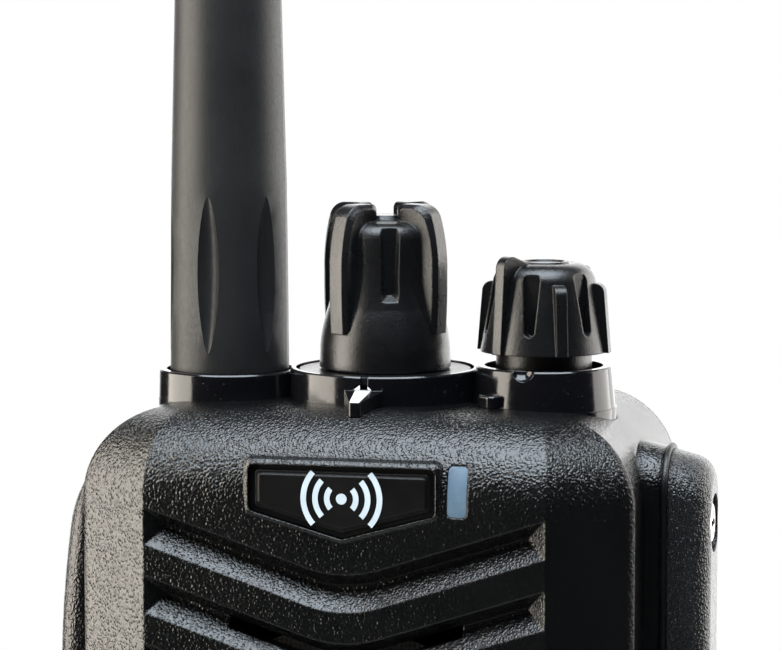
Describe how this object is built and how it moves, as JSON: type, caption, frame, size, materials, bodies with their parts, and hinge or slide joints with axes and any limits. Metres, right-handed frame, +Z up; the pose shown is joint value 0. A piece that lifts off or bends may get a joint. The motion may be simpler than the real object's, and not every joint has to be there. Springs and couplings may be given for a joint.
{
  "type": "portable radio",
  "caption": "Handheld two-way radio with stub antenna, rotary channel and volume knobs, side keys, accessory cover, battery pack and belt clip.",
  "frame": {"origin": "centre of the flat base, under the axis of the channel knob", "axes": "+Z up towards the antenna, +X to the viewer's right when facing the speaker, +Y from the speaker towards the belt clip"},
  "size_m": [0.0625, 0.0447, 0.269],
  "materials": {
    "housing_plastic": "leather-grained black plastic",
    "chassis_plastic": "fine-grained black plastic",
    "collar_plastic": "polished black plastic",
    "knob_plastic": "satin black plastic, fine spark texture",
    "antenna_rubber": "matte dark grey rubber",
    "soft_rubber": "black rubber",
    "window": "frosted pale blue plastic",
    "steel": "nickel-plated steel",
    "brass": "machined brass",
    "gold_contact": "gold-plated contact",
    "alloy": "plain alloy",
    "board": "green circuit board",
    "inner_plastic": "plain black plastic",
    "cloth": "black woven cloth",
    "speaker_metal": "plated steel",
    "cell_wrap": "wrapped cells"
  },
  "bodies": {
    "housing": {"front_housing": "housing_plastic", "rear_chassis": "chassis_plastic", "collar_plate": "collar_plastic", "emblem_plate": "inner_plastic", "led_lens": "window", "status_led": "window", "speaker": "speaker_metal", "speaker_cloth": "cloth", "microphone": "alloy", "microphone_boot": "soft_rubber", "main_board": "board", "shield_can": "steel", "board_screws": "steel", "chassis_screws": "steel", "housing_seal": "soft_rubber", "antenna_socket": "brass", "channel_switch": "inner_plastic", "channel_nut": "steel", "volume_control": "inner_plastic", "volume_nut": "steel", "shaft_seals": "soft_rubber", "accessory_jacks": "inner_plastic", "cover_insert": "brass", "cover_gasket": "soft_rubber", "cover_pin": "steel", "side_key_frame": "housing_plastic", "key_switches": "inner_plastic", "power_block": "inner_plastic", "power_contacts": "gold_contact"},
    "channel_control": {"channel_knob": "knob_plastic", "channel_number_ring": "knob_plastic", "channel_shaft": "alloy"},
    "volume_knob_body": {"volume_knob": "knob_plastic", "volume_shaft": "alloy"},
    "ptt": {"ptt_button": "soft_rubber"},
    "upper_key": {"upper_side_key": "soft_rubber"},
    "lower_key": {"lower_side_key": "soft_rubber"},
    "antenna": {"antenna_sleeve": "antenna_rubber", "antenna_plug": "brass", "antenna_whip": "steel", "antenna_coil": "brass"},
    "connector_cover": {"accessory_cover": "housing_plastic"},
    "captive_screw": {"cover_screw": "steel"},
    "battery_pack": {"pack_inner_case": "chassis_plastic", "pack_outer_case": "chassis_plastic", "battery_cells": "cell_wrap", "cell_strips": "steel", "battery_board": "board", "pack_contacts": "gold_contact", "charging_contacts": "gold_contact", "clip_bracket": "inner_plastic", "clip_screws": "steel", "clip_pin": "steel", "clip_spring": "steel"},
    "latch": {"battery_latch": "chassis_plastic"},
    "belt_clip": {"clip_lever": "chassis_plastic"}
  },
  "joints": [
    {"name": "channel_turn", "type": "hinge", "parent": "housing", "child": "channel_control", "pos_m": [0, 0, 0.119], "axis": [0, 0, -1], "range_deg": [-67.5, 270]},
    {"name": "volume_turn", "type": "hinge", "parent": "housing", "child": "volume_knob_body", "pos_m": [0.01535, 0, 0.119], "axis": [0, 0, -1], "range_deg": [-60, 220]},
    {"name": "ptt_press", "type": "slide", "parent": "housing", "child": "ptt", "axis": [1, 0, 0], "range_m": [0, 0.0008], "stiffness_N_per_m": 2000},
    {"name": "upper_key_press", "type": "slide", "parent": "housing", "child": "upper_key", "axis": [1, 0, 0], "range_m": [0, 0.0007], "stiffness_N_per_m": 2000},
    {"name": "lower_key_press", "type": "slide", "parent": "housing", "child": "lower_key", "axis": [1, 0, 0], "range_m": [0, 0.0007], "stiffness_N_per_m": 2000},
    {"name": "antenna_unscrew", "type": "slide", "parent": "housing", "child": "antenna", "axis": [0, 0, 1], "range_m": [0, 0.012]},
    {"name": "cover_open", "type": "hinge", "parent": "housing", "child": "connector_cover", "pos_m": [0.0289, -0.00248, 0.076], "axis": [0, 1, 0], "range_deg": [0, 100]},
    {"name": "cover_screw_turn", "type": "hinge", "parent": "connector_cover", "child": "captive_screw", "pos_m": [0.0306, -0.00248, 0.1055], "axis": [1, 0, 0], "continuous": true},
    {"name": "battery_remove", "type": "slide", "parent": "housing", "child": "battery_pack", "axis": [0, 1, 0], "range_m": [0, 0.012]},
    {"name": "latch_slide", "type": "slide", "parent": "housing", "child": "latch", "axis": [1, 0, 0], "range_m": [0, 0.0037]},
    {"name": "clip_squeeze", "type": "hinge", "parent": "battery_pack", "child": "belt_clip", "pos_m": [0, 0.023, 0.08], "axis": [1, 0, 0], "range_deg": [0, 14], "stiffness_Nm_per_rad": 0.4}
  ]
}
